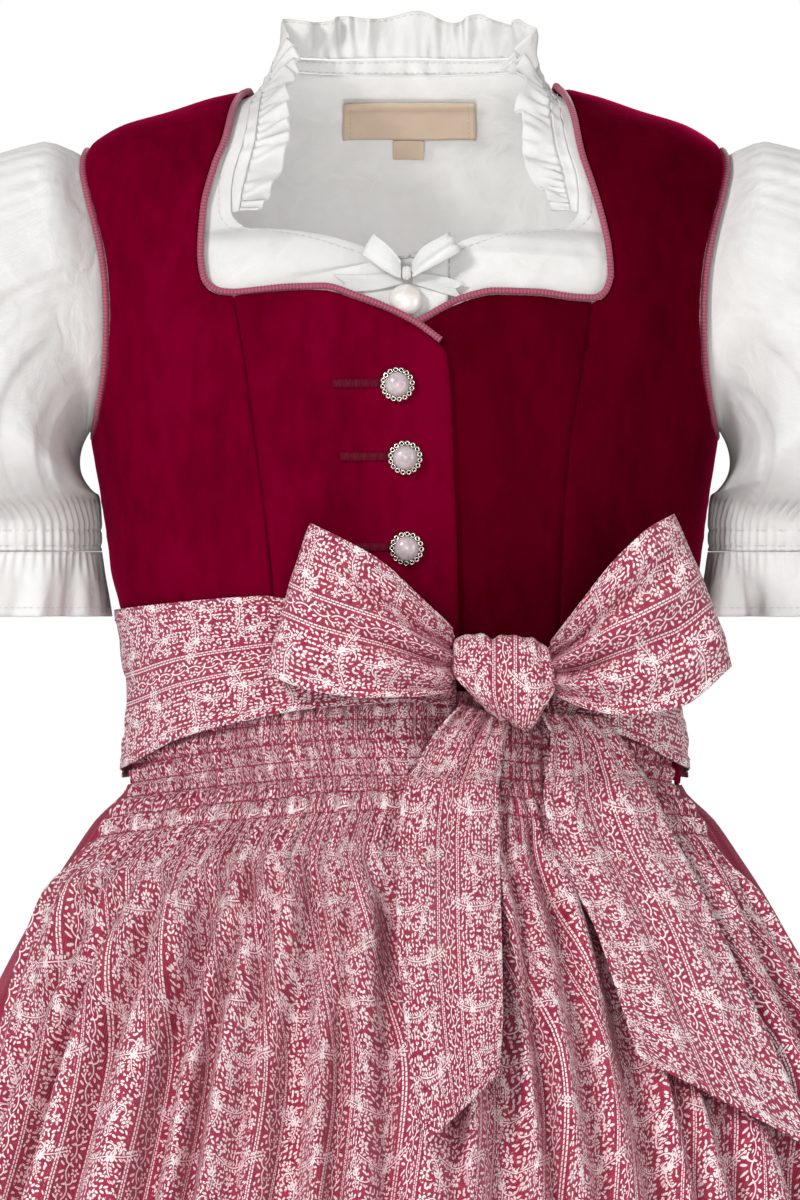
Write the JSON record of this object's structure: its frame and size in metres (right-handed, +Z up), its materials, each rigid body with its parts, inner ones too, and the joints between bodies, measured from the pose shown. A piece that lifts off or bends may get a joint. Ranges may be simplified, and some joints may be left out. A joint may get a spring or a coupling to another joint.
{
  "type": "dirndl",
  "caption": "Child's folk dress: velvet bodice over a puff-sleeved blouse, gathered skirt, smocked apron with sash and bow.",
  "frame": {"origin": "where the wearer's shoulders carry the dress: midway between the two points where shoulder and neck meet", "axes": "+Z up along the body, -Y the front of the dress, +X the wearer's left"},
  "size_m": [0.5675, 0.4706, 0.6882],
  "materials": {
    "velvet": "cotton velvet, short pile",
    "piping_satin": "ribbed satin cord",
    "white_cotton": "plain woven cotton",
    "jacquard": "striped floral jacquard, soft sheen",
    "skirt_satin": "satin weave, soft sheen",
    "ribbon_satin": "satin ribbon",
    "antique_silver": "antiqued silver-coloured casting",
    "pearl": "pearl lacquer",
    "label_satin": "woven satin label, bare"
  },
  "bodies": {
    "root": {"front_side_right": "velvet", "front_side_left": "velvet", "front_center_right": "velvet", "front_center_left": "velvet", "bodice_back_right": "velvet", "bodice_back_left": "velvet", "piping_neck_right": "piping_satin", "piping_neck_left": "piping_satin", "piping_neck_back": "piping_satin", "piping_armhole_right": "piping_satin", "piping_armhole_left": "piping_satin", "button_1_setting": "antique_silver", "button_1_pearl": "pearl", "button_2_setting": "antique_silver", "button_2_pearl": "pearl", "button_3_setting": "antique_silver", "button_3_pearl": "pearl", "blouse_front_right": "white_cotton", "blouse_front_left": "white_cotton", "blouse_back": "white_cotton", "collar_band": "white_cotton", "collar_ruffle": "white_cotton", "neck_label": "label_satin", "size_tab": "label_satin", "sleeve_right": "white_cotton", "sleeve_frill_right": "white_cotton", "sleeve_left": "white_cotton", "sleeve_frill_left": "white_cotton", "skirt_front": "skirt_satin", "skirt_back": "skirt_satin", "apron": "jacquard", "sash_right": "jacquard", "sash_left": "jacquard", "sash_back": "jacquard", "bow_loop_right": "jacquard", "bow_loop_left": "jacquard", "bow_knot": "jacquard", "bow_tail_right": "jacquard", "bow_tail_left": "jacquard", "blouse_button": "pearl", "ribbon_loop_right": "ribbon_satin", "ribbon_tail_right": "ribbon_satin", "ribbon_loop_left": "ribbon_satin", "ribbon_tail_left": "ribbon_satin", "ribbon_knot": "ribbon_satin"}
  },
  "joints": []
}
